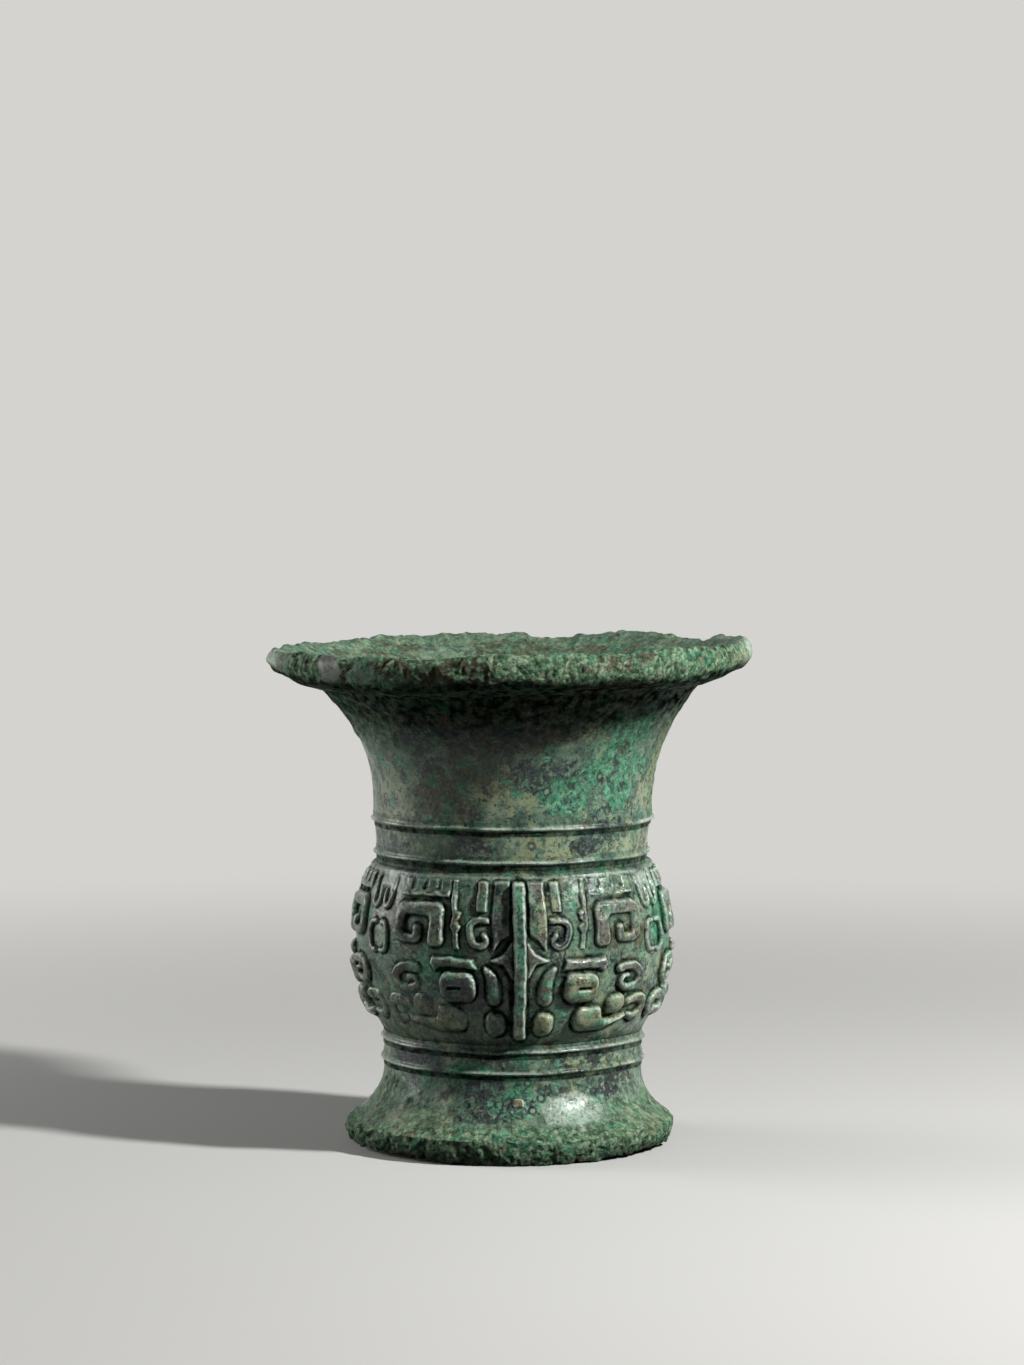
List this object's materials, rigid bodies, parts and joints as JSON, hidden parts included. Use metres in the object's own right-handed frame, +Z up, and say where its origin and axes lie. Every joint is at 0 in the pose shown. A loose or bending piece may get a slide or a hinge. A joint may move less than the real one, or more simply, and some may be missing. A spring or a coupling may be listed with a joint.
{
  "type": "bronze zun wine vessel",
  "caption": "Wide-mouthed bronze wine vessel on a hollow ring foot, with a flared neck, raised string bands and relief animal masks round the belly.",
  "frame": {"origin": "centre of the foot at the table", "axes": "+Z up along the vessel's axis; -Y towards the front mask"},
  "size_m": [0.241, 0.241, 0.2517],
  "materials": {
    "smooth_patina": "smooth green patina, satin",
    "crusted_edge": "rough green crust, matt",
    "rubbed_relief": "rubbed grey-green patina, satin",
    "polished_relief": "worn olive patina, glossy",
    "spacer_copper": "brown copper-coloured patina, matt"
  },
  "bodies": {
    "root": {"mouth_lip": "crusted_edge", "neck": "smooth_patina", "neck_string_upper": "rubbed_relief", "neck_string_lower": "rubbed_relief", "neck_spacers": "spacer_copper", "belly": "smooth_patina", "belly_floor": "smooth_patina", "foot_string_upper": "rubbed_relief", "foot_string_lower": "rubbed_relief", "foot": "smooth_patina", "foot_spacers": "spacer_copper", "foot_edge": "crusted_edge", "front_nose_flange": "rubbed_relief", "front_forehead_panels": "rubbed_relief", "front_forehead_hooks": "rubbed_relief", "front_quills": "rubbed_relief", "front_crests": "rubbed_relief", "front_horns": "rubbed_relief", "front_brows": "rubbed_relief", "front_eyes": "polished_relief", "front_ears": "rubbed_relief", "front_snouts": "rubbed_relief", "front_nostrils": "polished_relief", "front_jaws": "polished_relief", "front_cheeks": "polished_relief", "front_tails": "rubbed_relief", "front_side_hooks": "rubbed_relief", "right_nose_flange": "rubbed_relief", "right_forehead_panels": "rubbed_relief", "right_forehead_hooks": "rubbed_relief", "right_quills": "rubbed_relief", "right_crests": "rubbed_relief", "right_horns": "rubbed_relief", "right_brows": "rubbed_relief", "right_eyes": "polished_relief", "right_ears": "rubbed_relief", "right_snouts": "rubbed_relief", "right_nostrils": "polished_relief", "right_jaws": "polished_relief", "right_cheeks": "polished_relief", "right_tails": "rubbed_relief", "right_side_hooks": "rubbed_relief", "left_nose_flange": "rubbed_relief", "left_forehead_panels": "rubbed_relief", "left_forehead_hooks": "rubbed_relief", "left_quills": "rubbed_relief", "left_crests": "rubbed_relief", "left_horns": "rubbed_relief", "left_brows": "rubbed_relief", "left_eyes": "polished_relief", "left_ears": "rubbed_relief", "left_snouts": "rubbed_relief", "left_nostrils": "polished_relief", "left_jaws": "polished_relief", "left_cheeks": "polished_relief", "left_tails": "rubbed_relief", "left_side_hooks": "rubbed_relief"}
  },
  "joints": []
}
